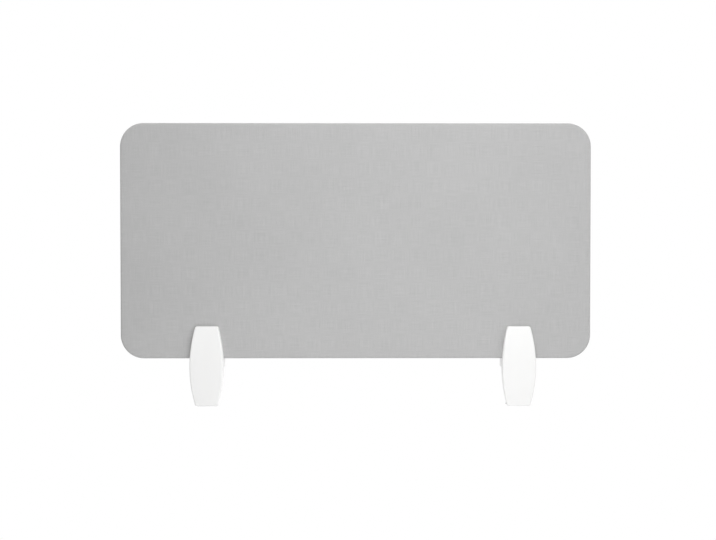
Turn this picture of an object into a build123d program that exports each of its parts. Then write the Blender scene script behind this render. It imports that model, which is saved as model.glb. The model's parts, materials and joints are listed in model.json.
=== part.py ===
from build123d import *
import math
import os

# A desk divider screen: a fabric covered panel that two clamp brackets hold at a desk's edge.
# All sizes are millimetres. X runs along the panel, minus Y is the outer side, plus Y is the
# side over the desk, and Z is up. The origin is on the desk surface, in the panel's mid plane.

# Panel
panel_length = 800.0
panel_height = 400.0
panel_thickness = 25.0
panel_lift = 18.0  # the panel's lower edge above the desk surface
corner_radius = 40.0
cover_thickness = 1.0
cover_edge_radius = 3.0
felt_thickness = 4.0
felt_edge_radius = 2.6
frame_width = 40.0
frame_inner_corner_radius = 4.0
infill_clearance = 0.5

# Strip pressed into the panel's edge, where both covers end
strip_width = 4.0
strip_cap_thickness = 0.8
strip_recess = 0.2
strip_stem_thickness = 2.0
strip_stem_depth = 6.0
strip_clearance = 0.1

# Bracket places, from the panel's ends
left_inset = 147.0
right_inset = 123.0

# Outline of the bracket seen from the front
plate_height = 136.0
plate_middle = 5.0  # the outline's middle above the desk surface
plate_half_width = 28.6
plate_side_radius = 255.0
plate_corner_radius = 4.0

# Moulded front shell
shell_wall = 2.0
shell_dome_rise = 5.5
shell_edge_radius = 2.5
shell_inner_corner_radius = 1.6
shell_panel_gap = 0.5
shell_side_gap = 0.3
shell_front_gap = 0.5
shell_boss_radius = 4.0
shell_boss_root = 1.0
shell_boss_bore_depth = 4.4
shell_boss_seat_gap = 0.05

# Grip on the panel
grip_clearance = 0.05
front_pad_thickness = 0.85
front_pad_inset = 7.0
front_pad_margin = 5.0
front_pad_corner_radius = 3.0
cheek_thickness = 3.5
cradle_pad_thickness = 1.0
cradle_pad_half_width = 20.0
cradle_pad_half_depth = 9.0
grip_pad_thickness = 1.0
grip_plate_thickness = 2.0
grip_plate_width = 40.0
grip_plate_corner_radius = 4.0
grip_travel = 1.5
grip_travel_clearance = 0.05
grip_plate_top_margin = 6.0  # from the cheeks' top
grip_plate_low_margin = 11.05  # from the floor under the panel

# Grip screws, M6 by 1 with a domed socket head
grip_screw_offset = 11.0
grip_screw_radius = 3.0
grip_screw_neck_radius = 2.0
grip_screw_head_radius = 5.25
grip_screw_head_height = 3.3
grip_screw_head_edge_radius = 1.6
grip_screw_head_gap = 1.15
grip_screw_socket_width = 4.0
grip_screw_socket_depth = 2.2
thread_clearance = 0.05
neck_clearance = 0.05
neck_end_gap = 0.1

# Cast clamp body
body_flank_inset = 1.4  # its sides, set back from the shell's
cheek_drop = 9.0  # both cheeks' top below the shell's top
rear_cheek_thickness = 5.0
rear_cheek_corner_radius = 7.0
rear_cheek_edge_radius = 1.8
spine_thickness = 17.9
spine_wall = 4.0
spine_boss_radius = 5.5
spine_edge_radius = 1.2
desk_pad_thickness = 2.0
tongue_half_width = 18.0
tongue_reach = 42.0  # the upper jaw's end, from the panel's mid plane
tongue_end_thickness = 5.0
tongue_corner_radius = 10.0
tongue_edge_radius = 1.4
cheek_rib_half_thickness = 2.5
cheek_rib_offset = 11.0
cheek_rib_reach = 12.0
cheek_rib_gap = 2.8  # left under the grip screws' heads
jaw_depth = 38.5  # the lower jaw's top below the desk surface
jaw_thickness = 9.0
jaw_root_half_width = 21.0
jaw_boss_radius = 17.0
jaw_edge_radius = 1.4
jaw_rib_half_thickness = 3.0
jaw_rib_offset = 13.0
jaw_rib_reach = 6.0
jaw_rib_height = 10.0
body_root = 3.0  # how far joined lumps of the casting run into each other

# Clamp screw, M8 by 1.25, and what it carries
screw_axis_depth = 23.0  # from the panel's mid plane
desk_thickness = 18.0  # the desk top held at rest
closing_travel = 6.0
spindle_radius = 4.0
spindle_neck_radius = 3.0
insert_radius = 7.0
insert_flange_radius = 9.0
insert_flange_thickness = 1.2
insert_clearance = 0.02
foot_radius = 17.0
foot_thickness = 4.0
foot_lip_width = 0.9
foot_lip_height = 0.8
foot_recess_radius = 7.0
foot_recess_depth = 2.0
foot_pad_thickness = 2.0
foot_pad_clearance = 0.1
foot_edge_radius = 0.8
clip_radius = 5.5
clip_thickness = 0.7
clip_groove_radius = 2.5
clip_clearance = 0.05
clip_mouth_width = 4.2
running_clearance = 0.1
knob_radius = 16.0
knob_height = 12.0
knob_hub_radius = 9.0
knob_hub_height = 2.0
knob_gap = 0.8  # left under the jaw when the clamp is fully closed
knob_bore_depth = 9.5
knob_edge_radius = 1.2
knob_flutes = 6
knob_flute_radius = 7.0
knob_flute_bite = 2.6

# Screws that hold the front shell, M3
cover_screw_radius = 1.5
cover_screw_clearance = 0.15
cover_screw_top_drop = 14.0  # the upper screw below the cheeks' top
cover_screw_low_depth = 22.0
cover_screw_length = 4.0  # how far they reach into the shell's bosses
sunk_head_radius = 2.9
sunk_head_height = 1.6
pan_head_radius = 2.8
pan_head_height = 2.0
counterbore_radius = 3.4
counterbore_depth = 12.0
head_clearance = 0.1

# Pads on the desk
desk_pad_half_width = 16.0
desk_pad_front_margin = 1.5
desk_pad_end_margin = 2.5
desk_pad_corner_radius = 8.0

# How far a cutting shape runs past what it cuts
overrun = 1.0

# Places that follow from the sizes
panel_half = panel_thickness / 2
core_half = panel_half - cover_thickness - felt_thickness
panel_middle = panel_lift + panel_height / 2
left_centre = left_inset - panel_length / 2
right_centre = panel_length / 2 - right_inset
plate_top = plate_middle + plate_height / 2
plate_bottom = plate_middle - plate_height / 2
cheek_top = plate_top - cheek_drop
cover_screw_top_height = cheek_top - cover_screw_top_drop
cheek_rear = -(panel_half + grip_clearance + front_pad_thickness)
cheek_front = cheek_rear - cheek_thickness
shell_rear = -(panel_half + shell_panel_gap)
shell_base = cheek_front - shell_front_gap - shell_wall
shell_peak = shell_base - shell_dome_rise
dome_radius = ((plate_height / 2) ** 2 + shell_dome_rise**2) / (2 * shell_dome_rise)
body_inset = shell_wall + shell_side_gap
spine_rear = cheek_front + spine_thickness
spine_flush_front = shell_rear + shell_side_gap
floor_top = panel_lift - grip_clearance - cradle_pad_thickness
grip_plate_top = cheek_top - grip_plate_top_margin
grip_plate_low = floor_top + grip_plate_low_margin
grip_plate_height = grip_plate_top - grip_plate_low
grip_height = (grip_plate_top + grip_plate_low) / 2
cheek_rib_top = grip_height - grip_screw_head_radius - cheek_rib_gap
grip_plate_front = panel_half + grip_clearance + grip_pad_thickness
grip_plate_rear = grip_plate_front + grip_plate_thickness
rear_cheek_front = grip_plate_rear + grip_travel + grip_travel_clearance
rear_cheek_rear = rear_cheek_front + rear_cheek_thickness
jaw_bottom = -jaw_depth - jaw_thickness
foot_pad_top = -desk_thickness
foot_top = foot_pad_top - foot_pad_thickness
foot_bottom = foot_top - foot_thickness
knob_top = jaw_bottom - closing_travel - knob_gap
knob_bottom = knob_top - knob_height


def slab(sketch, front, rear):
    """Solid of an outline drawn in X and Z, from the front depth to the rear depth."""
    return extrude(Plane.XZ.offset(-rear) * sketch, rear - front)


def prism(outline, half_width):
    """Solid of a closed outline of (Y, Z) points, centred across X."""
    return extrude(Plane.YZ * make_face(Polyline(*outline, close=True)), half_width, both=True)


def disc(radius, low, high, inner=0):
    """Disc or ring about the clamp screw's axis, between two heights."""
    ring = Circle(radius) - Circle(inner) if inner else Circle(radius)
    return Pos(0, screw_axis_depth, low) * extrude(ring, high - low)


def rod(radius, x, z, front, rear):
    """Round bar along Y, between two depths."""
    return slab(Pos(x, z) * Circle(radius), front, rear)


# Panel

def panel_outline(inset):
    """The panel's rounded outline, moved inwards by inset."""
    length = panel_length - 2 * inset
    height = panel_height - 2 * inset
    corner = max(corner_radius - inset, frame_inner_corner_radius)
    return Pos(0, panel_middle) * RectangleRounded(length, height, corner)


def cover_tray(side):
    """Fabric cover of one face, wrapped round the edge as far as the edge strip."""
    outer = slab(panel_outline(0), -panel_half, -strip_width / 2)
    outer = fillet(outer.faces().sort_by(Axis.Y)[0].edges(), cover_edge_radius)
    inner_face = -panel_half + cover_thickness
    inner = slab(panel_outline(cover_thickness), inner_face, 0)
    inner_radius = cover_edge_radius - cover_thickness
    inner = fillet(inner.faces().sort_by(Axis.Y)[0].edges(), inner_radius)
    tray = outer - inner
    return tray if side < 0 else mirror(tray, Plane.XZ)


def felt_sheet(side):
    """Felt layer between the core and one cover."""
    sheet = slab(panel_outline(cover_thickness), cover_thickness - panel_half, -core_half)
    sheet = fillet(sheet.faces().sort_by(Axis.Y)[0].edges(), felt_edge_radius)
    return sheet if side < 0 else mirror(sheet, Plane.XZ)


def core_frame():
    """Board ring under the covers, grooved all round for the edge strip."""
    ring = panel_outline(cover_thickness) - panel_outline(cover_thickness + frame_width)
    groove_half = strip_stem_thickness / 2 + strip_clearance
    groove_floor = cover_thickness + strip_stem_depth + strip_clearance
    groove = panel_outline(0) - panel_outline(groove_floor)
    return slab(ring, -core_half, core_half) - slab(groove, -groove_half, groove_half)


def core_infill():
    """Sound absorbing board inside the ring."""
    inset = cover_thickness + frame_width + infill_clearance
    return slab(panel_outline(inset), -core_half, core_half)


def edge_strip():
    """Strip with a flat cap between the covers and a stem in the frame's groove."""
    cap_floor = strip_recess + strip_cap_thickness
    cap = panel_outline(strip_recess) - panel_outline(cap_floor)
    stem = panel_outline(cap_floor) - panel_outline(cover_thickness + strip_stem_depth)
    cap_half = strip_width / 2
    stem_half = strip_stem_thickness / 2
    return slab(cap, -cap_half, cap_half) + slab(stem, -stem_half, stem_half)


# Bracket

def bowed_outline(inset, low, high):
    """The plate's bowed outline between two heights, moved inwards by inset."""

    def half(z):
        reach = math.sqrt((plate_side_radius - inset) ** 2 - (z - plate_middle) ** 2)
        return plate_half_width - plate_side_radius + reach

    middle = (low + high) / 2
    right = ThreePointArc((half(low), low), (half(middle), middle), (half(high), high))
    left = ThreePointArc((-half(high), high), (-half(middle), middle), (-half(low), low))
    top = Line((half(high), high), (-half(high), high))
    bottom = Line((-half(low), low), (half(low), low))
    return make_face([right, top, left, bottom])


def dome(inset):
    """Round bar across the bracket whose front is the shell's bowed face."""
    centre = shell_peak + dome_radius
    circle = Pos(centre, plate_middle) * Circle(dome_radius - inset)
    return extrude(Plane.YZ * circle, plate_half_width + overrun, both=True)


def shell_block(inset, corner, edge, rear):
    """The shell's bowed block, moved inwards by inset on every side but the rear."""
    outline = bowed_outline(inset, plate_bottom + inset, plate_top - inset)
    block = slab(outline, shell_peak - overrun, rear)
    block = fillet(block.edges().filter_by(Axis.Y), corner) & dome(inset)
    return fillet(block.faces().sort_by(Axis.Y)[0].edges(), edge) if edge else block


def front_shell():
    """Hollow moulded cover with two screw bosses behind its bowed face."""
    outer = shell_block(0, plate_corner_radius, shell_edge_radius, shell_rear)
    hollow = shell_block(shell_wall, shell_inner_corner_radius, 0, shell_rear + overrun)
    shell = outer - hollow
    for height in (cover_screw_top_height, -cover_screw_low_depth):
        drop = dome_radius - math.sqrt(dome_radius**2 - (height - plate_middle) ** 2)
        boss_front = shell_peak + drop + shell_wall - shell_boss_root
        shell += rod(shell_boss_radius, 0, height, boss_front, cheek_front - shell_boss_seat_gap)
        bore_end = cheek_front - shell_boss_bore_depth
        shell -= rod(cover_screw_radius, 0, height, bore_end, cheek_front + overrun)
    return shell


def cradle():
    """Floor under the panel and the upright behind it that carries the grip screws."""
    outline = bowed_outline(body_flank_inset, desk_pad_thickness, cheek_top)
    block = slab(outline, spine_flush_front, rear_cheek_rear)
    upper = block.edges().filter_by(Axis.Y).sort_by(Axis.Z)[-2:]
    block = fillet(upper, rear_cheek_corner_radius)
    block = fillet(block.faces().sort_by(Axis.Y)[-1].edges(), rear_cheek_edge_radius)
    room = bowed_outline(-overrun, floor_top, cheek_top + overrun)
    return block - slab(room, spine_flush_front - overrun, rear_cheek_front)


def spine():
    """Box that runs down past the desk's edge, open towards the shell."""
    outline = bowed_outline(body_flank_inset, plate_bottom + body_flank_inset, floor_top)
    wall = slab(outline, spine_flush_front, spine_rear)
    wall = fillet(wall.edges().filter_by(Axis.Y).sort_by(Axis.Z)[:2], plate_corner_radius)
    wall = fillet(wall.faces().sort_by(Axis.Y)[-1].edges(), spine_edge_radius)
    outline = bowed_outline(body_inset, plate_bottom + body_inset, floor_top)
    nose = slab(outline, cheek_front, spine_rear - body_root)
    wall += fillet(nose.edges().filter_by(Axis.Y).sort_by(Axis.Z)[:2], plate_corner_radius)
    inset = body_inset + spine_wall
    outline = bowed_outline(inset, plate_bottom + inset, -spine_wall)
    pocket = slab(outline, cheek_front - overrun, spine_rear - spine_wall)
    pocket = fillet(pocket.edges().filter_by(Axis.Y), plate_corner_radius)
    boss = rod(spine_boss_radius, 0, -cover_screw_low_depth, cheek_front - overrun, spine_rear)
    return wall - (pocket - boss)


def tongue():
    """Upper jaw that lies over the desk top."""
    outline = [
        (0, desk_pad_thickness),
        (tongue_reach, desk_pad_thickness),
        (tongue_reach, desk_pad_thickness + tongue_end_thickness),
        (rear_cheek_rear, floor_top),
        (0, floor_top),
    ]
    lump = prism(outline, tongue_half_width)
    end = lump.edges().filter_by(Axis.Z).group_by(Axis.Y)[-1]
    lump = fillet(end, tongue_corner_radius)
    upper = lump.faces().sort_by(Axis.Y)[-1].edges().sort_by(Axis.Z)[-1]
    return fillet(upper, tongue_edge_radius)


def lower_jaw():
    """Arm under the desk with the boss for the threaded insert."""
    root = spine_rear - body_root
    corners = Polyline((-jaw_root_half_width, root), (jaw_root_half_width, root))
    boss = Pos(0, screw_axis_depth) * CenterArc((0, 0), jaw_boss_radius, 0, 180)
    plan = make_hull(corners.edges() + boss.edges())
    arm = Pos(0, 0, jaw_bottom) * extrude(plan, jaw_thickness)
    rims = arm.edges().filter_by(lambda e: abs(e.center().Z - jaw_bottom - jaw_thickness / 2) > overrun)
    return fillet(rims.filter_by(lambda e: e.center().Y > spine_rear), jaw_edge_radius)


def ribs(outline, half_thickness, offset):
    """Pair of upright ribs of one side outline, either side of the middle."""
    rib = prism(outline, half_thickness)
    return [Pos(side * offset, 0, 0) * rib for side in (-1, 1)]


def body_bores():
    """Everything that is cut from the casting for screws and the insert."""
    bores = [disc(insert_radius, jaw_bottom - overrun, overrun - jaw_depth)]
    for side in (-1, 1):
        x = side * grip_screw_offset
        radius = grip_screw_radius + thread_clearance
        front = rear_cheek_front - overrun
        bores.append(rod(radius, x, grip_height, front, rear_cheek_rear + overrun))
    hole = cover_screw_radius + cover_screw_clearance
    for height in (cover_screw_top_height, -cover_screw_low_depth):
        bores.append(rod(hole, 0, height, cheek_front - overrun, spine_rear + overrun))
    bores.append(sunk_head(head_clearance))
    sunk = spine_rear - counterbore_depth
    bores.append(rod(counterbore_radius, 0, -cover_screw_low_depth, sunk, spine_rear + overrun))
    return bores


def clamp_body():
    """Cast body: cheeks round the panel, upper jaw, spine and lower jaw."""
    outline = bowed_outline(body_inset, floor_top - body_root, cheek_top)
    cheek = slab(outline, cheek_front, cheek_rear)
    cheek = fillet(cheek.edges().filter_by(Axis.Y).sort_by(Axis.Z)[-2:], plate_corner_radius)
    cheek_rib = [
        (rear_cheek_rear - body_root, floor_top - body_root),
        (rear_cheek_rear + cheek_rib_reach, floor_top - body_root),
        (rear_cheek_rear - body_root, cheek_rib_top),
    ]
    jaw_rib = [
        (spine_rear - body_root, jaw_bottom + body_root),
        (spine_rear + jaw_rib_reach, jaw_bottom + body_root),
        (spine_rear - body_root, jaw_bottom - jaw_rib_height),
    ]
    lumps = [spine(), cradle(), tongue(), lower_jaw()]
    lumps += ribs(cheek_rib, cheek_rib_half_thickness, cheek_rib_offset)
    lumps += ribs(jaw_rib, jaw_rib_half_thickness, jaw_rib_offset)
    body = cheek
    for lump in lumps:
        body += lump
    for bore in body_bores():
        body -= bore
    return body


def sunk_head(clearance):
    """Cone of the upper cover screw's countersunk head, grown by clearance."""
    wide = sunk_head_radius + clearance
    narrow = cover_screw_radius + clearance
    cone = Solid.make_cone(wide, narrow, sunk_head_height)
    return Pos(0, cheek_rear, cover_screw_top_height) * Rot(90, 0, 0) * cone


def cover_screws():
    """Two screws that hold the shell on the casting, one above and one below the desk."""
    tip = cheek_front - cover_screw_length
    neck = cheek_rear - sunk_head_height
    upper = sunk_head(0) + rod(cover_screw_radius, 0, cover_screw_top_height, tip, neck)
    seat = spine_rear - counterbore_depth
    lower = rod(cover_screw_radius, 0, -cover_screw_low_depth, tip, seat)
    lower += rod(pan_head_radius, 0, -cover_screw_low_depth, seat, seat + pan_head_height)
    return Compound([upper.solid(), lower.solid()])


def cradle_pad():
    """Rubber strip under the panel's lower edge."""
    pad = Box(2 * cradle_pad_half_width, 2 * cradle_pad_half_depth, cradle_pad_thickness)
    return Pos(0, 0, floor_top + cradle_pad_thickness / 2) * pad


def front_grip_pad():
    """Rubber facing on the front cheek, set back inside its outline."""
    low = panel_lift + front_pad_margin
    outline = bowed_outline(front_pad_inset, low, cheek_top - front_pad_margin)
    pad = slab(outline, cheek_rear, cheek_rear + front_pad_thickness)
    return fillet(pad.edges().filter_by(Axis.Y), front_pad_corner_radius)


def grip_outline():
    """Rounded outline that the grip plate and its facing share."""
    outline = RectangleRounded(grip_plate_width, grip_plate_height, grip_plate_corner_radius)
    return Pos(0, grip_height) * outline


def grip_plate_pad():
    """Rubber facing that the grip plate presses on the panel."""
    return slab(grip_outline(), grip_plate_front - grip_pad_thickness, grip_plate_front)


def grip_plate():
    """Steel plate behind the panel, with a hole for each screw's neck."""
    plate = slab(grip_outline(), grip_plate_front, grip_plate_rear)
    for side in (-1, 1):
        radius = grip_screw_neck_radius + neck_clearance
        front = grip_plate_front - overrun
        plate -= rod(radius, side * grip_screw_offset, grip_height, front, grip_plate_rear + overrun)
    return plate


def grip_screw(side):
    """Socket screw whose neck is held in the grip plate."""
    x = side * grip_screw_offset
    neck_end = grip_plate_front + neck_end_gap
    shoulder = grip_plate_rear + neck_clearance
    head_seat = rear_cheek_rear + grip_screw_head_gap
    head_end = head_seat + grip_screw_head_height
    head = rod(grip_screw_head_radius, x, grip_height, head_seat, head_end)
    head = fillet(head.edges().sort_by(Axis.Y)[-1], grip_screw_head_edge_radius)
    socket = Pos(x, grip_height) * RegularPolygon(grip_screw_socket_width / 2, 6, major_radius=False)
    head -= slab(socket, head_end - grip_screw_socket_depth, head_end + overrun)
    shank = rod(grip_screw_radius, x, grip_height, shoulder, head_seat)
    neck = rod(grip_screw_neck_radius, x, grip_height, neck_end, shoulder)
    return head + shank + neck


def desk_pad():
    """Rubber pad under the upper jaw."""
    front = spine_rear + desk_pad_front_margin
    end = tongue_reach - desk_pad_end_margin
    outline = RectangleRounded(2 * desk_pad_half_width, end - front, desk_pad_corner_radius)
    return Pos(0, (front + end) / 2, 0) * extrude(outline, desk_pad_thickness)


def jaw_insert():
    """Steel bush with the clamp screw's thread, pressed into the lower jaw from above."""
    bore = spindle_radius + thread_clearance
    bush = disc(insert_radius - insert_clearance, jaw_bottom, -jaw_depth, bore)
    flange_top = insert_flange_thickness - jaw_depth
    return bush + disc(insert_flange_radius, -jaw_depth, flange_top, bore)


def pressure_foot():
    """Disc on the screw's end, dished for the pad and sunk for the clip."""
    foot = disc(foot_radius, foot_bottom, foot_top + foot_lip_height)
    foot = fillet(foot.edges().sort_by(Axis.Z)[0], foot_edge_radius)
    foot -= disc(foot_radius - foot_lip_width, foot_top, foot_top + foot_lip_height + overrun)
    foot -= disc(foot_recess_radius, foot_top - foot_recess_depth, foot_top + overrun)
    neck_hole = spindle_neck_radius + running_clearance
    return foot - disc(neck_hole, foot_bottom - overrun, foot_top + overrun)


def foot_pad():
    """Rubber pad that presses on the desk's underside."""
    radius = foot_radius - foot_lip_width - foot_pad_clearance
    return disc(radius, foot_top, foot_pad_top)


def clip_floor():
    """Height of the clip's underside, just above the foot's recess."""
    return foot_top - foot_recess_depth + clip_clearance


def retaining_clip():
    """Open ring in the spindle's groove that keeps the foot on."""
    low = clip_floor()
    ring = disc(clip_radius, low, low + clip_thickness, clip_groove_radius + clip_clearance)
    mouth = Box(clip_mouth_width, clip_radius + overrun, clip_thickness + overrun)
    mouth_depth = screw_axis_depth + (clip_radius + overrun) / 2
    return ring - Pos(0, mouth_depth, low + clip_thickness / 2) * mouth


def clamp_spindle():
    """Clamp screw, at its thread's outer diameter, with a necked and grooved end."""
    shoulder = foot_bottom - running_clearance
    spindle = disc(spindle_radius, knob_top - knob_bore_depth, shoulder)
    neck_end = clip_floor() + 2 * clip_thickness
    spindle += disc(spindle_neck_radius, shoulder, neck_end)
    groove_low = clip_floor() - clip_clearance
    groove_high = clip_floor() + clip_thickness + clip_clearance
    return spindle - disc(spindle_neck_radius + overrun, groove_low, groove_high, clip_groove_radius)


def clamp_knob():
    """Fluted hand knob fixed on the spindle's lower end."""
    grip = disc(knob_radius, knob_bottom, knob_top - knob_hub_height)
    flute_distance = knob_radius + knob_flute_radius - knob_flute_bite
    base = Pos(0, screw_axis_depth, knob_bottom - overrun)
    for place in PolarLocations(flute_distance, knob_flutes):
        grip -= base * extrude(place * Circle(knob_flute_radius), knob_height + 2 * overrun)
    rims = grip.faces().filter_by(Axis.Z).edges()
    grip = fillet(rims, knob_edge_radius)
    knob = grip + disc(knob_hub_radius, knob_top - knob_hub_height, knob_top)
    return knob - disc(spindle_radius, knob_top - knob_bore_depth, knob_top + overrun)


def write(name, shape):
    """Writes one sub-part to its own file."""
    export_step(shape, f"parts/{name}.step")


def write_panel():
    """Panel pieces, from the core outwards."""
    write("core_frame", core_frame())
    write("core_infill", core_infill())
    write("edge_strip", edge_strip())
    for name, side in (("front", -1), ("rear", 1)):
        write(f"{name}_felt", felt_sheet(side))
        write(f"{name}_cover", cover_tray(side))


def bracket_pieces():
    """Every piece of one bracket, with its middle at x = 0."""
    return {
        "front_shell": front_shell(),
        "clamp_body": clamp_body(),
        "cover_screws": cover_screws(),
        "cradle_pad": cradle_pad(),
        "front_grip_pad": front_grip_pad(),
        "grip_plate": grip_plate(),
        "grip_plate_pad": grip_plate_pad(),
        "grip_screw_a": grip_screw(-1),
        "grip_screw_b": grip_screw(1),
        "desk_pad": desk_pad(),
        "jaw_insert": jaw_insert(),
        "pressure_foot": pressure_foot(),
        "foot_pad": foot_pad(),
        "retaining_clip": retaining_clip(),
        "clamp_spindle": clamp_spindle(),
        "clamp_knob": clamp_knob(),
    }


os.makedirs("parts", exist_ok=True)
write_panel()
pieces = bracket_pieces()
for bracket, centre in (("left", left_centre), ("right", right_centre)):
    for name, piece in pieces.items():
        write(f"{bracket}_{name}", Pos(centre, 0, 0) * piece)
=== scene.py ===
import json
import math
import bmesh
import bpy
from mathutils import Matrix, Vector


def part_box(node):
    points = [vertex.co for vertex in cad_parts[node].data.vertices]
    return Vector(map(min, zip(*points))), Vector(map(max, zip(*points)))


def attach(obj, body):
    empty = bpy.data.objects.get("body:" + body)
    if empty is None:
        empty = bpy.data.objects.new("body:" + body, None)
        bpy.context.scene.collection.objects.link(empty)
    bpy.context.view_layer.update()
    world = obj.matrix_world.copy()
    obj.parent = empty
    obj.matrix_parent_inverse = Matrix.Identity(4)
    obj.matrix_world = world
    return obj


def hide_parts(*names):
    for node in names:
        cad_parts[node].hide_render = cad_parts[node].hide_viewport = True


# Desk divider screen: cloth panel on two white clamp brackets. Metres, Z up, +Y is over the desk.

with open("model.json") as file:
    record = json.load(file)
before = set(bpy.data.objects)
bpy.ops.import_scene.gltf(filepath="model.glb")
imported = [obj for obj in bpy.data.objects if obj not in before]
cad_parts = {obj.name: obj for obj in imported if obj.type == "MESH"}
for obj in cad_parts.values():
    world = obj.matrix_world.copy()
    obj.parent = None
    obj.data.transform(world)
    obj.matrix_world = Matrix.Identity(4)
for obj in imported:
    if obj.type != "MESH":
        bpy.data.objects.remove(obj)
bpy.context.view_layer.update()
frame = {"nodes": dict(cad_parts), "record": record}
nodes = frame["nodes"]
print("frame loaded,", len(nodes), "nodes")


# Camera, studio and floor

shot = {
    "place": (-0.009, -1.8438, 0.2035),
    "tilt": -1.093,  # degrees, looking slightly down
    "turn": -0.399,
    "lens": 54.16,
    "sensor": 36.0,
}

lamps = {
    "key": {"place": (0.25, -0.9, 0.4), "aim": (0.0, 0.0, 0.2), "size": 0.5, "power": 1.4},
    "side": {"place": (1.6, -1.3, 0.5), "aim": (0.0, 0.0, 0.2), "size": 0.9, "power": 6.1},
    "top": {"place": (0.1, -0.7, 1.5), "aim": (0.0, 0.0, 0.25), "size": 1.0, "power": 10.5},
    "under": {"place": (0.0, -0.85, -0.42), "aim": (0.0, 0.0, 0.1), "size": 0.5, "power": 2.15},
    "rear": {"place": (-0.7, 1.5, 0.9), "aim": (0.0, 0.0, 0.15), "size": 0.9, "power": 4.0},
    "low": {"place": (0.3, 0.6, -0.42), "aim": (0.0, 0.0, 0.0), "size": 0.4, "power": 1.6},
}

air = {
    "colour": (1.0, 1.0, 1.0, 1.0),
    "roomStrength": 0.5,
    "wallStrength": 0.85,  # from the white wall behind
    "blend": 0.2,  # how far the room and the wall run into each other
    "seenStrength": 1.0,  # plain white where the background shows
}

floorLook = {
    "height": -0.72,  # a desk's height under the clamps
    "radius": 1.4,
    "solidShare": 0.45,  # the floor fades out from this share of its radius
    "clearShare": 0.98,  # to this one
    "colour": (0.86, 0.86, 0.86, 1.0),
    "sides": 96,
}


def link(thing):
    bpy.context.scene.collection.objects.link(thing)
    return thing


def put(tree, kind, inputs=None, **settings):
    # one shader node with its settings and what feeds its sockets
    node = tree.nodes.new(kind)
    for key, value in settings.items():
        setattr(node, key, value)
    for socket, value in (inputs or {}).items():
        if isinstance(value, bpy.types.NodeSocket):
            tree.links.new(value, node.inputs[socket])
        else:
            node.inputs[socket].default_value = value
    return node


def calc(tree, operation, *values):
    return put(tree, "ShaderNodeMath", dict(enumerate(values)), operation=operation).outputs[0]


def placeCamera():
    camera = link(bpy.data.objects.new("camera", bpy.data.cameras.new("camera")))
    camera.data.lens = shot["lens"]
    camera.data.sensor_width = shot["sensor"]
    camera.location = shot["place"]
    camera.rotation_euler = (math.radians(90 + shot["tilt"]), 0, math.radians(shot["turn"]))
    bpy.context.scene.camera = camera


def hangLamp(name, place, aim, size, power):
    lamp = link(bpy.data.objects.new(name + "Lamp", bpy.data.lights.new(name + "Lamp", "AREA")))
    lamp.data.shape = "DISK"
    lamp.data.size = size
    lamp.data.energy = power
    lamp.location = place
    aim = Vector(aim) - lamp.location
    lamp.rotation_euler = aim.to_track_quat("-Z", "Y").to_euler()
    lamp.visible_camera = False


def fillAir():
    # soft light from all round, stronger from the wall behind, and plain white where it is seen
    world = bpy.data.worlds.new("studioAir")
    world.use_nodes = True
    tree = world.node_tree
    tree.nodes.clear()
    ray = put(tree, "ShaderNodeLightPath")
    seen = calc(tree, "MAXIMUM", ray.outputs["Is Camera Ray"], ray.outputs["Is Glossy Ray"])
    seen = calc(tree, "MAXIMUM", seen, ray.outputs["Is Transmission Ray"])
    way = put(tree, "ShaderNodeSeparateXYZ", {0: put(tree, "ShaderNodeTexCoord").outputs["Generated"]})
    level = put(tree, "ShaderNodeMapRange", {
        "Value": way.outputs["Y"],
        "From Min": -air["blend"],
        "From Max": air["blend"],
        "To Min": air["roomStrength"],
        "To Max": air["wallStrength"],
    }, interpolation_type="SMOOTHSTEP")
    glow = put(tree, "ShaderNodeBackground", {"Color": air["colour"], "Strength": level.outputs[0]})
    white = put(tree, "ShaderNodeBackground", {"Color": air["colour"], "Strength": air["seenStrength"]})
    mixed = put(tree, "ShaderNodeMixShader", {0: seen, 1: glow.outputs[0], 2: white.outputs[0]})
    put(tree, "ShaderNodeOutputWorld", {"Surface": mixed.outputs[0]})
    bpy.context.scene.world = world


def layFloor():
    bm = bmesh.new()
    bmesh.ops.create_circle(bm, cap_ends=True, segments=floorLook["sides"], radius=floorLook["radius"])
    bmesh.ops.translate(bm, verts=bm.verts, vec=(0, 0, floorLook["height"]))
    mesh = bpy.data.meshes.new("floor")
    bm.to_mesh(mesh)
    bm.free()
    floor = link(bpy.data.objects.new("floor", mesh))
    cover = bpy.data.materials.new("paleFloor")
    cover.use_nodes = True
    tree = cover.node_tree
    tree.nodes.clear()
    place = put(tree, "ShaderNodeTexCoord").outputs["Object"]
    flat = put(tree, "ShaderNodeVectorMath", {0: place, 1: (1, 1, 0)}, operation="MULTIPLY")
    reach = put(tree, "ShaderNodeVectorMath", {0: flat.outputs[0]}, operation="LENGTH")
    fade = put(tree, "ShaderNodeMapRange", {
        "Value": reach.outputs["Value"],
        "From Min": floorLook["radius"] * floorLook["solidShare"],
        "From Max": floorLook["radius"] * floorLook["clearShare"],
    }, interpolation_type="SMOOTHERSTEP")
    matt = put(tree, "ShaderNodeBsdfDiffuse", {"Color": floorLook["colour"]})
    clear = put(tree, "ShaderNodeBsdfTransparent")
    mixed = put(tree, "ShaderNodeMixShader", {
        0: fade.outputs[0], 1: matt.outputs[0], 2: clear.outputs[0],
    })
    put(tree, "ShaderNodeOutputMaterial", {"Surface": mixed.outputs[0]})
    mesh.materials.append(cover)


placeCamera()
for lampName, settings in lamps.items():
    hangLamp(lampName, **settings)
fillAir()
layFloor()
bpy.context.scene.view_settings.view_transform = "Standard"
print("camera, lamps and floor placed")


# Finishes

def startFinish(name, surface):
    # a new material whose shader has the surface's values on its own sockets
    finish = bpy.data.materials.new(name)
    finish.use_nodes = True
    tree = finish.node_tree
    shader = tree.nodes["Principled BSDF"]
    for socket, value in surface.items():
        shader.inputs[socket].default_value = value
    return finish, tree, shader


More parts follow.
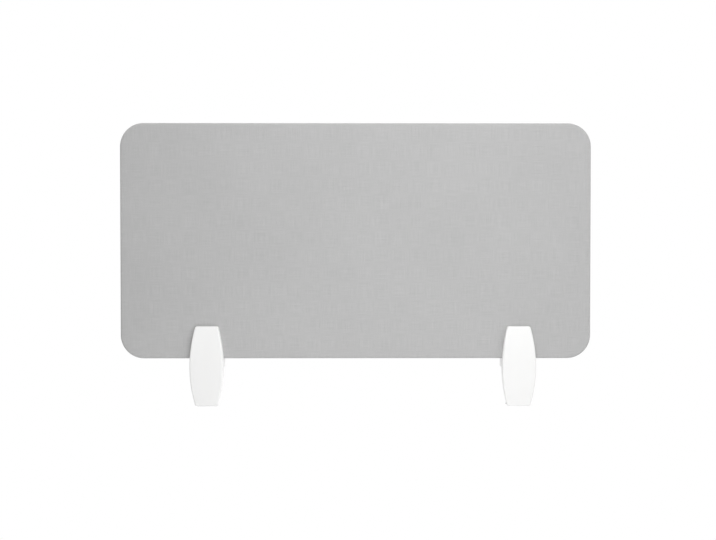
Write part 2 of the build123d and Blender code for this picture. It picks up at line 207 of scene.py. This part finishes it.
def noise(tree, place, scale, detail=2.0, roughness=0.5):
    return put(tree, "ShaderNodeTexNoise", {
        "Vector": place, "Scale": scale, "Detail": detail, "Roughness": roughness,
    }).outputs["Fac"]


def stretch(tree, place, factors):
    return put(tree, "ShaderNodeVectorMath", {0: place, 1: factors}, operation="MULTIPLY").outputs[0]


def spread(tree, value, low, high, fromLow=0.3, fromHigh=0.7):
    # noise values lie mostly between 0.3 and 0.7
    return put(tree, "ShaderNodeMapRange", {
        "Value": value, "From Min": fromLow, "From Max": fromHigh, "To Min": low, "To Max": high,
    }).outputs[0]


def tint(tree, amount, dark, light):
    # a Mix node's colours are its sockets 6 and 7, and its colour output is 2
    if not isinstance(light, bpy.types.NodeSocket):
        light = (*light, 1)
    return put(tree, "ShaderNodeMix", {0: amount, 6: (*dark, 1), 7: light}, data_type="RGBA").outputs[2]


def paint(tree, shader, amount, dark, light):
    tree.links.new(tint(tree, amount, dark, light), shader.inputs["Base Color"])


def relief(tree, shader, height, distance, strength=1.0):
    bump = put(tree, "ShaderNodeBump", {"Height": height, "Distance": distance, "Strength": strength})
    tree.links.new(bump.outputs["Normal"], shader.inputs["Normal"])


def objectPlace(tree):
    return put(tree, "ShaderNodeTexCoord").outputs["Object"]


weave = {
    "pitch": 0.0008,  # from one yarn to the next
    "darkYarn": (0.397, 0.397, 0.397),
    "lightYarn": (0.562, 0.562, 0.562),
    "slubScale": 0.9,  # thick and thin places, drawn out along the yarn
    "slubStretch": 0.03,
    "slubShare": 0.62,
    "fibreScale": 2.3,
    "fibreShare": 0.38,
    "paintedDipShade": 0.82,  # painted shade in the dips between yarns, as a share of the colour
    "paintedCrownHighlight": 1.04,  # and the painted highlight on the yarns' tops
    "dipRange": (0.0, 0.8),
    "cloudScale": 7.0,
    "cloud": (0.985, 1.015),
    "fuzz": 0.35,
    "relief": 0.00012,
    "reliefStrength": 0.7,
    "surface": {
        "Roughness": 0.88,
        "Specular IOR Level": 0.25,
        "Sheen Weight": 0.15,
        "Sheen Roughness": 0.45,
    },
}


def clothFinish():
    finish, tree, shader = startFinish("greyCloth", weave["surface"])
    flat = put(tree, "ShaderNodeTexCoord").outputs["UV"]  # the cloth laid flat, in metres
    yarns = stretch(tree, flat, (1 / weave["pitch"],) * 3)
    parts = put(tree, "ShaderNodeSeparateXYZ", {0: yarns})
    ridges = []
    for axis in (0, 1):
        wave = calc(tree, "SINE", calc(tree, "MULTIPLY", parts.outputs[axis], math.pi))
        ridges.append(calc(tree, "ABSOLUTE", wave))
    across, along = ridges
    top = put(tree, "ShaderNodeTexChecker", {"Vector": yarns, "Scale": 1.0}).outputs["Fac"]
    warp = calc(tree, "MULTIPLY", across, calc(tree, "MULTIPLY_ADD", along, 0.5, 0.5))
    weft = calc(tree, "MULTIPLY", along, calc(tree, "MULTIPLY_ADD", across, 0.5, 0.5))
    height = put(tree, "ShaderNodeMix", {0: top, 2: warp, 3: weft}).outputs[0]
    drawn = weave["slubStretch"]
    slubAlong = noise(tree, stretch(tree, yarns, (1.0, drawn, 1.0)), weave["slubScale"], 3.0)
    slubAcross = noise(tree, stretch(tree, yarns, (drawn, 1.0, 1.0)), weave["slubScale"], 3.0)
    slub = put(tree, "ShaderNodeMix", {0: top, 2: slubAlong, 3: slubAcross}).outputs[0]
    fibre = noise(tree, yarns, weave["fibreScale"], 4.0, 0.65)
    cloud = noise(tree, flat, weave["cloudScale"])
    shade = calc(tree, "ADD", calc(tree, "MULTIPLY", slub, weave["slubShare"]),
                 calc(tree, "MULTIPLY", fibre, weave["fibreShare"]))
    yarn = tint(tree, spread(tree, shade, 0.0, 1.0), weave["darkYarn"], weave["lightYarn"])
    # painted shade in the dips between yarns and painted highlight on their tops, multiplied into the
    # base colour together with the cloud's tone
    paintedShadeAndHighlight = spread(tree, height, weave["paintedDipShade"], weave["paintedCrownHighlight"], *weave["dipRange"])
    level = calc(tree, "MULTIPLY", paintedShadeAndHighlight, spread(tree, cloud, *weave["cloud"]))
    colour = put(tree, "ShaderNodeVectorMath", {0: yarn, "Scale": level}, operation="SCALE").outputs[0]
    tree.links.new(colour, shader.inputs["Base Color"])
    fuzzy = calc(tree, "MULTIPLY_ADD", fibre, weave["fuzz"], height)
    relief(tree, shader, fuzzy, weave["relief"], weave["reliefStrength"])
    return finish


shellWhite = {
    "dark": (0.83, 0.83, 0.825),
    "light": (0.85, 0.85, 0.845),
    "flow": (22.0, 22.0, 9.0),  # streaks of the melt, longer up and down
    "grain": 2600.0,
    "grainDetail": 3.0,
    "roughness": (0.36, 0.5),
    "relief": 0.000012,
    "surface": {"IOR": 1.5},
}

knobBlack = {
    "dark": (0.026, 0.026, 0.027),
    "light": (0.036, 0.036, 0.037),
    "flow": (60.0, 60.0, 60.0),
    "grain": 2300.0,
    "grainDetail": 2.0,
    "roughness": (0.38, 0.52),
    "relief": 0.00002,
    "surface": {"IOR": 1.48},
}


def mouldedFinish(name, look):
    finish, tree, shader = startFinish(name, look["surface"])
    place = objectPlace(tree)
    grain = noise(tree, place, look["grain"], look["grainDetail"], 0.6)
    flow = noise(tree, stretch(tree, place, look["flow"]), 1.0)
    paint(tree, shader, spread(tree, flow, 0.0, 1.0), look["dark"], look["light"])
    tree.links.new(spread(tree, grain, *look["roughness"]), shader.inputs["Roughness"])
    relief(tree, shader, grain, look["relief"])
    return finish


powderCoat = {
    "dark": (0.835, 0.835, 0.83),
    "light": (0.865, 0.865, 0.86),
    "pool": 55.0,
    "peel": 620.0,  # orange peel of the coat
    "fine": 2790.0,
    "fineShare": 0.18,
    "roughness": (0.34, 0.46),
    "relief": 0.00005,
    "surface": {"IOR": 1.5, "Coat Weight": 0.1, "Coat Roughness": 0.25},
}


def coatedFinish():
    finish, tree, shader = startFinish("whitePowderCoat", powderCoat["surface"])
    place = objectPlace(tree)
    peel = noise(tree, place, powderCoat["peel"], 1.5, 0.4)
    fine = noise(tree, place, powderCoat["fine"])
    height = calc(tree, "MULTIPLY_ADD", fine, powderCoat["fineShare"], peel)
    pool = noise(tree, place, powderCoat["pool"])
    paint(tree, shader, spread(tree, pool, 0.0, 1.0), powderCoat["dark"], powderCoat["light"])
    tree.links.new(spread(tree, peel, *powderCoat["roughness"]), shader.inputs["Roughness"])
    relief(tree, shader, height, powderCoat["relief"])
    return finish


zinc = {
    "bright": (0.73, 0.73, 0.72),
    "dull": (0.60, 0.615, 0.64),
    "bloom": 130.0,
    "bloomRoughness": (0.22, 0.34),
    "grain": 1500.0,
    "grainRoughness": (0.0, 0.08),
    "relief": 0.000006,
    "surface": {"Metallic": 1.0},
}


def steelFinish():
    finish, tree, shader = startFinish("zincPlatedSteel", zinc["surface"])
    place = objectPlace(tree)
    bloom = noise(tree, place, zinc["bloom"], 3.0, 0.6)
    grain = noise(tree, place, zinc["grain"])
    paint(tree, shader, spread(tree, bloom, 0.0, 1.0), zinc["dull"], zinc["bright"])
    worn = calc(tree, "ADD", spread(tree, bloom, *zinc["bloomRoughness"]),
                spread(tree, grain, *zinc["grainRoughness"]))
    tree.links.new(worn, shader.inputs["Roughness"])
    relief(tree, shader, grain, zinc["relief"])
    return finish


rubber = {
    "dark": (0.022, 0.022, 0.023),
    "dusty": (0.05, 0.05, 0.05),
    "dust": 90.0,
    "dustRange": (0.45, 0.75),  # only the higher noise values show as dust
    "grain": 2100.0,
    "roughness": (0.7, 0.86),
    "relief": 0.00003,
    "surface": {"Specular IOR Level": 0.35},
}


def rubberFinish():
    finish, tree, shader = startFinish("blackRubber", rubber["surface"])
    place = objectPlace(tree)
    grain = noise(tree, place, rubber["grain"], 3.0, 0.6)
    dust = noise(tree, place, rubber["dust"], 4.0, 0.7)
    dusty = spread(tree, dust, 0.0, 1.0, *rubber["dustRange"])
    paint(tree, shader, dusty, rubber["dark"], rubber["dusty"])
    tree.links.new(spread(tree, dust, *rubber["roughness"]), shader.inputs["Roughness"])
    relief(tree, shader, grain, rubber["relief"])
    return finish


trim = {
    "dark": (0.275, 0.275, 0.28),
    "light": (0.325, 0.325, 0.33),
    "lines": 2600.0,
    "blotch": 35.0,
    "roughness": (0.36, 0.5),
    "relief": 0.00001,
    "surface": {"IOR": 1.5},
}


def trimFinish():
    # drawn lines run along the strip, so they change only across it
    finish, tree, shader = startFinish("greyEdgeTrim", trim["surface"])
    place = objectPlace(tree)
    lines = noise(tree, stretch(tree, place, (0.0, 1.0, 0.0)), trim["lines"])
    blotch = noise(tree, place, trim["blotch"], 3.0)
    shade = calc(tree, "ADD", calc(tree, "MULTIPLY", lines, 0.5), calc(tree, "MULTIPLY", blotch, 0.5))
    paint(tree, shader, spread(tree, shade, 0.0, 1.0), trim["dark"], trim["light"])
    tree.links.new(spread(tree, lines, *trim["roughness"]), shader.inputs["Roughness"])
    relief(tree, shader, lines, trim["relief"])
    return finish


felt = {"dark": (0.46, 0.46, 0.45), "light": (0.7, 0.7, 0.68), "fibres": 1100.0, "relief": 0.0001}

absorber = {"dark": (0.55, 0.55, 0.53), "light": (0.8, 0.8, 0.78), "fibres": 700.0, "relief": 0.00012}

fibres = {
    "twistScale": 0.2,  # of the fibres' own scale
    "twist": 0.004,
    "stretch": 0.12,  # fibres are about eight times as long as thick
    "range": (0.4, 0.72),
    "surface": {"Roughness": 0.95, "Specular IOR Level": 0.15, "Sheen Weight": 0.1},
}


def fibreFinish(name, look):
    # pressed fibres, for the felt and the absorbing board
    finish, tree, shader = startFinish(name, fibres["surface"])
    place = objectPlace(tree)
    twist = put(tree, "ShaderNodeTexNoise", {
        "Vector": place, "Scale": look["fibres"] * fibres["twistScale"], "Detail": 2.0,
    })
    bent = put(tree, "ShaderNodeVectorMath", {0: twist.outputs["Color"], "Scale": fibres["twist"]},
               operation="SCALE")
    moved = put(tree, "ShaderNodeVectorMath", {0: place, 1: bent.outputs[0]}, operation="ADD").outputs[0]
    strands = noise(tree, stretch(tree, moved, (1.0, 1.0, fibres["stretch"])), look["fibres"], 3.0, 0.7)
    cross = noise(tree, stretch(tree, moved, (fibres["stretch"], 1.0, 1.0)), look["fibres"], 3.0, 0.7)
    mat = calc(tree, "MAXIMUM", strands, cross)
    paint(tree, shader, spread(tree, mat, 0.0, 1.0, *fibres["range"]), look["dark"], look["light"])
    relief(tree, shader, mat, look["relief"])
    return finish


board = {
    "dark": (0.37, 0.26, 0.165),
    "light": (0.55, 0.41, 0.27),
    "fleck": (0.2, 0.13, 0.08),
    "fleckScale": 700.0,
    "fleckEdge": (0.06, 0.16),  # how far a fleck reaches from its middle
    "fibre": 900.0,
    "fibreShare": 0.6,
    "cloud": 40.0,
    "cloudShare": 0.4,
    "relief": 0.00004,
    "surface": {"Roughness": 0.82, "Specular IOR Level": 0.3},
}


def boardFinish():
    finish, tree, shader = startFinish("fibreBoard", board["surface"])
    place = objectPlace(tree)
    fibre = noise(tree, place, board["fibre"], 4.0, 0.7)
    cloud = noise(tree, place, board["cloud"])
    fleck = put(tree, "ShaderNodeTexVoronoi", {"Vector": place, "Scale": board["fleckScale"]})
    shade = calc(tree, "MULTIPLY_ADD", cloud, board["cloudShare"],
                 calc(tree, "MULTIPLY", fibre, board["fibreShare"]))
    body = tint(tree, spread(tree, shade, 0.0, 1.0), board["dark"], board["light"])
    speck = spread(tree, fleck.outputs["Distance"], 0.0, 1.0, *board["fleckEdge"])
    paint(tree, shader, speck, board["fleck"], body)
    relief(tree, shader, fibre, board["relief"])
    return finish


finishes = {
    "fabric": clothFinish(),
    "edge_trim": trimFinish(),
    "felt": fibreFinish("greyFelt", felt),
    "board": boardFinish(),
    "infill": fibreFinish("paleFibreBoard", absorber),
    "white_plastic": mouldedFinish("mouldedWhite", shellWhite),
    "white_casting": coatedFinish(),
    "steel": steelFinish(),
    "dark_rubber": rubberFinish(),
    "dark_plastic": mouldedFinish("mouldedBlack", knobBlack),
}

for part in frame["record"]["subparts"]:
    solid = nodes[part["node"]]
    if not solid.material_slots:
        solid.data.materials.append(finishes[part["material_slot"]])
    for held in solid.material_slots:
        held.material = finishes[part["material_slot"]]
print(len(finishes), "finishes on the solids")


# Mesh helpers

def vertsIn(geometry):
    return [item for item in geometry if isinstance(item, bmesh.types.BMVert)]


def facesIn(geometry):
    return [item for item in geometry if isinstance(item, bmesh.types.BMFace)]


def turned(profile, steps):
    # spins a chain of (radius, height) about Z and closes both ends
    bm = bmesh.new()
    chain = [bm.verts.new((radius, 0, height)) for radius, height in profile]
    edges = [bm.edges.new(pair) for pair in zip(chain, chain[1:])]
    bmesh.ops.spin(bm, geom=chain + edges, cent=(0, 0, 0), axis=(0, 0, 1), angle=2 * math.pi,
                   steps=steps, use_merge=True)
    bmesh.ops.holes_fill(bm, edges=bm.edges, sides=0)
    bmesh.ops.recalc_face_normals(bm, faces=bm.faces)
    return bm


threadForm = {  # a metric thread, in shares of its pitch
    "depth": 0.6134,
    "rootEnd": 0.25,
    "crestStart": 0.5625,
    "crestEnd": 0.6875,
}


def threaded(radius, pitch, low, high, steps):
    # a bar along Z with one long helical thread, cut flat at both ends
    root = radius - threadForm["depth"] * pitch
    profile = [
        (root, 0.0),
        (root, threadForm["rootEnd"]),
        (radius, threadForm["crestStart"]),
        (radius, threadForm["crestEnd"]),
        (root, 1.0),
    ]
    turns = math.ceil((high - low) / pitch) + 2
    bm = bmesh.new()
    chain = [bm.verts.new((r, 0, low + (share - 1) * pitch)) for r, share in profile]
    edges = [bm.edges.new(pair) for pair in zip(chain, chain[1:])]
    bmesh.ops.spin(bm, geom=chain + edges, cent=(0, 0, 0), axis=(0, 0, 1), dvec=(0, 0, pitch / steps),
                   angle=2 * math.pi * turns, steps=turns * steps)
    bmesh.ops.remove_doubles(bm, verts=bm.verts, dist=pitch * 0.01)
    for height, way in ((low, -1), (high, 1)):
        bmesh.ops.bisect_plane(bm, geom=bm.verts[:] + bm.edges[:] + bm.faces[:], dist=pitch * 0.001,
                               plane_co=(0, 0, height), plane_no=(0, 0, way), clear_outer=True)
    bmesh.ops.holes_fill(bm, edges=[e for e in bm.edges if e.is_boundary], sides=0)
    bmesh.ops.recalc_face_normals(bm, faces=bm.faces)
    return bm


def addTo(bm, other):
    spare = bpy.data.meshes.new("spare")
    other.to_mesh(spare)
    other.free()
    bm.from_mesh(spare)
    bpy.data.meshes.remove(spare)


def layAlongY(bm, x, y, z):
    # a screw is made standing on the origin, and then lies along Y from this place
    lying = Matrix.Rotation(math.radians(-90), 3, "X")
    bmesh.ops.rotate(bm, verts=bm.verts, cent=(0, 0, 0), matrix=lying)
    bmesh.ops.translate(bm, verts=bm.verts, vec=(x, y, z))


def sinkRecess(bm, reach, depth, margin, tip=0.15):
    # sinks a driver recess into the top cap, with a shallow drill's tip as its floor
    # reach gives the recess's radius at an angle, and tip is a share of the depth
    cap = max(bm.faces, key=lambda face: (round(face.calc_center_median().z, 6), len(face.verts)))
    bmesh.ops.inset_individual(bm, faces=[cap], thickness=margin)
    for vert in cap.verts:
        angle = math.atan2(vert.co.y, vert.co.x)
        radius = reach(angle)
        vert.co.x = radius * math.cos(angle)
        vert.co.y = radius * math.sin(angle)
    sunk = bmesh.ops.extrude_face_region(bm, geom=[cap])["geom"]
    bmesh.ops.translate(bm, verts=vertsIn(sunk), vec=(0, 0, -depth))
    bmesh.ops.delete(bm, geom=[cap], context="FACES_ONLY")
    middle = bmesh.ops.poke(bm, faces=facesIn(sunk))["verts"]
    bmesh.ops.translate(bm, verts=middle, vec=(0, 0, -depth * tip))


def hexReach(halfWidth):
    return lambda angle: halfWidth / math.cos((angle + math.pi / 6) % (math.pi / 3) - math.pi / 6)


def crossReach(arm, halfWidth):
    def reach(angle):
        off = abs((angle + math.pi / 4) % (math.pi / 2) - math.pi / 4)
        return min(arm / math.cos(off), halfWidth / max(math.sin(off), 0.001))  # no division by nought
    return reach


def finished(bm, name, slot, body, replaced, crease=35.0):
    # makes the mesh a piece: smooth with sharp creases, its finish, and the body it rides on
    for face in bm.faces:
        face.smooth = True
    for edge in bm.edges:
        edge.smooth = len(edge.link_faces) != 2 or edge.calc_face_angle() < math.radians(crease)
    mesh = bpy.data.meshes.new(name)
    bm.to_mesh(mesh)
    bm.free()
    mesh.materials.append(finishes[slot])
    piece = link(bpy.data.objects.new(name, mesh))
    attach(piece, body)
    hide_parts(replaced)
    return piece


# Cloth covers

cloth = {
    "thickness": 0.001,
    "cornerRadius": 0.04,
    "rimRadius": 0.003,
    "cornerSteps": 44,
    "rimSteps": 7,
    "sideCuts": 4,
    "innerMargin": 0.005,  # an even band of faces inside the rim
    "crease": 60.0,
    "puckerDepth": 0.00022,
    "puckerWidth": 0.0062,
    "puckerRise": 1.5,  # how late the folds begin on their way to the strip
    "puckerDrift": 0.7,  # how uneven their spacing is
    "puckerDriftTurns": 9,
}


def outlinePoint(co, low, high):
    # the nearest point of the panel's outline, set in by the rim radius, the way out from it,
    # and whether it lies in a rounded corner
    middle = Vector(((low.x + high.x) / 2, 0, (low.z + high.z) / 2))
    halfX = (high.x - low.x) / 2 - cloth["cornerRadius"]
    halfZ = (high.z - low.z) / 2 - cloth["cornerRadius"]
    local = Vector((co.x, 0, co.z)) - middle
    centre = Vector((max(-halfX, min(halfX, local.x)), 0, max(-halfZ, min(halfZ, local.z))))
    out = (local - centre).normalized()
    inCorner = abs(local.x) > halfX and abs(local.z) > halfZ
    return middle + centre + out * (cloth["cornerRadius"] - cloth["rimRadius"]), out, inCorner


def stretchCloth(name, node, side):
    low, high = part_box(node)
    face, hem = (low.y, high.y) if side < 0 else (high.y, low.y)
    upright = Matrix.Rotation(math.radians(90), 3, "X")
    bm = bmesh.new()
    bmesh.ops.create_grid(bm, x_segments=1, y_segments=1, size=0.5)
    bmesh.ops.rotate(bm, verts=bm.verts, cent=(0, 0, 0), matrix=upright)
    bmesh.ops.scale(bm, verts=bm.verts, vec=(high.x - low.x, 1, high.z - low.z))
    bmesh.ops.translate(bm, verts=bm.verts, vec=((low.x + high.x) / 2, hem, (low.z + high.z) / 2))
    bmesh.ops.bevel(bm, geom=bm.verts[:], offset=cloth["cornerRadius"], offset_type="OFFSET",
                    segments=cloth["cornerSteps"], profile=0.5, affect="VERTICES", material=-1)
    backing = bm.faces[:]
    raised = bmesh.ops.extrude_face_region(bm, geom=backing)["geom"]
    bmesh.ops.translate(bm, verts=vertsIn(raised), vec=(0, face - hem, 0))
    bmesh.ops.delete(bm, geom=backing, context="FACES_ONLY")  # open where the cloth ends
    front = max(bm.faces, key=lambda f: f.calc_area())
    bmesh.ops.bevel(bm, geom=front.edges[:], offset=cloth["rimRadius"], offset_type="OFFSET",
                    segments=cloth["rimSteps"], profile=0.5, affect="EDGES", material=-1)
    sides = [e for e in bm.edges if abs(e.verts[0].co.y - e.verts[1].co.y) > cloth["rimRadius"]]
    bmesh.ops.subdivide_edges(bm, edges=sides, cuts=cloth["sideCuts"])
    front = max(bm.faces, key=lambda f: f.calc_area())
    bmesh.ops.inset_region(bm, faces=[front], thickness=cloth["innerMargin"])
    bmesh.ops.recalc_face_normals(bm, faces=bm.faces)
    layFlat(bm, low, high, face)
    puckerCorners(bm, low, high, face, hem)
    piece = finished(bm, name, "fabric", "panel", node, cloth["crease"])
    if piece.data.polygons[0].normal.dot(Vector((0, side, 0))) < -0.5:
        piece.data.flip_normals()  # the cloth is open behind, so its faces can come out inwards
    wall = piece.modifiers.new("clothThickness", "SOLIDIFY")
    wall.thickness = cloth["thickness"]
    wall.offset = -1
    return piece


def layFlat(bm, low, high, face):
    # the map of the cloth before it was pulled round the edge, in metres
    layer = bm.loops.layers.uv.new("flatCloth")
    rim = cloth["rimRadius"]
    for vert in bm.verts:
        depth = abs(vert.co.y - face)
        flat = vert.co
        if depth > rim * 0.001:
            base, out = outlinePoint(vert.co, low, high)[:2]
            quarter = rim * math.acos(max(-1.0, 1 - min(depth, rim) / rim))
            flat = base + out * (quarter + max(0.0, depth - rim))
        for loop in vert.link_loops:
            loop[layer].uv = (flat.x, flat.z)


def puckerCorners(bm, low, high, face, hem):
    # the spare cloth at a rounded corner lies in small folds beside the edge strip
    waves = round(cloth["cornerRadius"] * math.pi / 2 / cloth["puckerWidth"])
    for vert in bm.verts:
        out, inCorner = outlinePoint(vert.co, low, high)[1:]
        share = (abs(vert.co.y - face) - cloth["rimRadius"]) / (abs(hem - face) - cloth["rimRadius"])
        if inCorner and share > 0:
            turn = math.atan2(abs(out.z), abs(out.x)) / (math.pi / 2)
            drift = cloth["puckerDrift"] * math.sin(turn * cloth["puckerDriftTurns"])
            fold = math.sin(turn * waves * 2 * math.pi + drift) * math.sin(turn * math.pi)
            vert.co += out * cloth["puckerDepth"] * share ** cloth["puckerRise"] * (fold - 1.0) * 0.5


for name, node, side in (("frontCloth", "front_cover", -1), ("rearCloth", "rear_cover", 1)):
    piece = stretchCloth(name, node, side)
print("cloth covers stretched")


# Clamp screws, grip screws and cover screws

clampScrew = {
    "pitch": 0.00125,
    "radius": 0.004,
    "neckRadius": 0.003,
    "grooveRadius": 0.0025,
    "footGap": 0.0001,  # left between the thread's end and the foot
    "threadSteps": 30,
    "neckSteps": 32,
}


def makeSpindle(side):
    low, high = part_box(f"{side}_clamp_spindle")
    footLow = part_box(f"{side}_pressure_foot")[0]
    clipLow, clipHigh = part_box(f"{side}_retaining_clip")
    shoulder = footLow.z - clampScrew["footGap"]
    bm = threaded(clampScrew["radius"], clampScrew["pitch"], low.z, shoulder, clampScrew["threadSteps"])
    neck = clampScrew["neckRadius"]
    groove = clampScrew["grooveRadius"]
    addTo(bm, turned([
        (neck, shoulder - clampScrew["pitch"]),
        (neck, clipLow.z),
        (groove, clipLow.z),
        (groove, clipHigh.z),
        (neck, clipHigh.z),
        (neck, high.z),
    ], clampScrew["neckSteps"]))
    bmesh.ops.translate(bm, verts=bm.verts, vec=((low.x + high.x) / 2, (low.y + high.y) / 2, 0))
    finished(bm, f"{side}Spindle", "steel", f"{side}_spindle", f"{side}_clamp_spindle")


gripScrew = {
    "pitch": 0.001,
    "radius": 0.003,
    "neckRadius": 0.002,
    "headRadius": 0.00525,
    "headHeight": 0.0033,
    "headEdge": 0.0016,
    "headChamfer": 0.0003,
    "edgeSteps": 6,
    "socketHalf": 0.002,
    "socketDepth": 0.0022,
    "socketMargin": 0.0003,
    "capRadius": 0.0031,
    "neckLength": 0.00195,
    "threadOverlap": 0.0002,  # how far the thread runs into the head
    "threadSteps": 28,
    "steps": 48,
}


def makeGripScrew(side, letter):
    node = f"{side}_grip_screw_{letter}"
    low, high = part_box(node)
    length = high.y - low.y
    neck, head = gripScrew["neckRadius"], gripScrew["headRadius"]
    edge, chamfer = gripScrew["headEdge"], gripScrew["headChamfer"]
    seat = length - gripScrew["headHeight"]
    profile = [(neck, seat), (head - chamfer, seat), (head, seat + chamfer), (head, length - edge)]
    for step in range(1, gripScrew["edgeSteps"] + 1):
        angle = math.pi / 2 * step / gripScrew["edgeSteps"]
        profile.append((head - edge * (1 - math.cos(angle)), length - edge * (1 - math.sin(angle))))
    profile.append((gripScrew["capRadius"], length))
    screw = turned(profile, gripScrew["steps"])
    sinkRecess(screw, hexReach(gripScrew["socketHalf"]), gripScrew["socketDepth"],
               gripScrew["socketMargin"])
    addTo(screw, threaded(gripScrew["radius"], gripScrew["pitch"], gripScrew["neckLength"],
                          seat + gripScrew["threadOverlap"], gripScrew["threadSteps"]))
    addTo(screw, turned([(neck, 0.0), (neck, seat)], gripScrew["threadSteps"]))
    layAlongY(screw, (low.x + high.x) / 2, low.y, (low.z + high.z) / 2)
    finished(screw, f"{side}GripScrew{letter.upper()}", "steel", node, node)


coverScrew = {
    "pitch": 0.0005,
    "radius": 0.0015,
    "neckRadius": 0.0012,
    "threadOverlap": 0.0001,  # how far the thread runs into the head
    "threadSteps": 20,
    "sunkRadius": 0.0029,
    "sunkHeight": 0.0016,
    "sunkEdge": 0.0001,
    "panRadius": 0.0028,
    "panHeight": 0.002,
    "panEdge": 0.0009,
    "edgeSteps": 5,
    "crossArm": 0.00165,
    "crossHalf": 0.00036,
    "crossDepth": 0.0011,
    "crossMargin": 0.0001,
    "steps": 64,
}


def makeCoverScrews(side):
    # the upper one is countersunk and ends flush with the front cheek, the lower one has a pan head
    low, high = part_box(f"{side}_cover_screws")
    neck, radius, edge = coverScrew["neckRadius"], coverScrew["radius"], coverScrew["panEdge"]
    panRadius, sunkRadius = coverScrew["panRadius"], coverScrew["sunkRadius"]
    top = high.y - low.y
    panSeat = top - coverScrew["panHeight"]
    pan = [(neck, panSeat), (panRadius, panSeat)]
    for step in range(coverScrew["edgeSteps"] + 1):
        angle = math.pi / 2 * step / coverScrew["edgeSteps"]
        pan.append((panRadius - edge * (1 - math.cos(angle)), top - edge * (1 - math.sin(angle))))
    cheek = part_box(f"{side}_front_grip_pad")[0].y - low.y  # the front cheek's rear face
    sunkSeat = cheek - coverScrew["sunkHeight"]
    sunk = [
        (neck, sunkSeat),
        (radius, sunkSeat),
        (sunkRadius, cheek),
        (sunkRadius - coverScrew["sunkEdge"], cheek),
    ]
    both = bmesh.new()
    heads = ((pan, panSeat, low.z + panRadius), (sunk, sunkSeat, high.z - sunkRadius))
    for profile, seat, height in heads:
        screw = turned(profile, coverScrew["steps"])
        sinkRecess(screw, crossReach(coverScrew["crossArm"], coverScrew["crossHalf"]),
                   coverScrew["crossDepth"], coverScrew["crossMargin"])
        addTo(screw, threaded(radius, coverScrew["pitch"], 0.0, seat + coverScrew["threadOverlap"],
                              coverScrew["threadSteps"]))
        layAlongY(screw, (low.x + high.x) / 2, low.y, height)
        addTo(both, screw)
    finished(both, f"{side}CoverScrews", "steel", f"{side}_bracket", f"{side}_cover_screws")


for side in ("left", "right"):
    makeSpindle(side)
    makeCoverScrews(side)
    for letter in "ab":
        makeGripScrew(side, letter)
print("screws cut")


# Rubber pads that touch the desk

deskPad = {
    "cornerRadius": 0.008,
    "cornerSteps": 10,
    "stripes": 8,
    "rim": 0.0009,
    "sink": 0.0006,
}


def makeDeskPad(side):
    low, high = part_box(f"{side}_desk_pad")
    bm = bmesh.new()
    bmesh.ops.create_grid(bm, x_segments=1, y_segments=1, size=0.5)
    bmesh.ops.scale(bm, verts=bm.verts, vec=(high.x - low.x, high.y - low.y, 1))
    bmesh.ops.translate(bm, verts=bm.verts, vec=((low.x + high.x) / 2, (low.y + high.y) / 2, low.z))
    bmesh.ops.bevel(bm, geom=bm.verts[:], offset=deskPad["cornerRadius"], offset_type="OFFSET",
                    segments=deskPad["cornerSteps"], profile=0.5, affect="VERTICES", material=-1)
    for cut in range(1, deskPad["stripes"]):
        bmesh.ops.bisect_plane(bm, geom=bm.verts[:] + bm.edges[:] + bm.faces[:], plane_no=(0, 1, 0),
                               plane_co=(0, low.y + (high.y - low.y) * cut / deskPad["stripes"], 0))
    raised = bmesh.ops.extrude_face_region(bm, geom=bm.faces[:])["geom"]
    bmesh.ops.translate(bm, verts=vertsIn(raised), vec=(0, 0, high.z - low.z))
    bmesh.ops.recalc_face_normals(bm, faces=bm.faces)
    soles = [face for face in bm.faces if face.normal.z < -0.9]  # one a stripe, facing the desk
    bmesh.ops.inset_individual(bm, faces=soles, thickness=deskPad["rim"], depth=-deskPad["sink"])
    finished(bm, f"{side}DeskPad", "dark_rubber", f"{side}_bracket", f"{side}_desk_pad")


footPad = {
    "edge": 0.0005,
    "rings": 4,
    "ringWidth": 0.0012,
    "ringDepth": 0.0007,
    "hub": 0.0025,
    "steps": 80,
}


def makeFootPad(side):
    low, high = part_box(f"{side}_foot_pad")
    radius = (high.x - low.x) / 2
    profile = [(radius, low.z), (radius, high.z - footPad["edge"]), (radius - footPad["edge"], high.z)]
    for ring in range(1, footPad["rings"] + 1):
        middle = radius + (footPad["hub"] - radius) * ring / (footPad["rings"] + 1)
        outer, inner = middle + footPad["ringWidth"] / 2, middle - footPad["ringWidth"] / 2
        floor = high.z - footPad["ringDepth"]
        profile += [(outer, high.z), (outer, floor), (inner, floor), (inner, high.z)]
    profile.append((footPad["hub"], high.z))
    bm = turned(profile, footPad["steps"])
    bmesh.ops.translate(bm, verts=bm.verts, vec=((low.x + high.x) / 2, (low.y + high.y) / 2, 0))
    finished(bm, f"{side}FootPad", "dark_rubber", f"{side}_foot", f"{side}_foot_pad")


for side in ("left", "right"):
    makeDeskPad(side)
    makeFootPad(side)
print("rubber pads moulded")
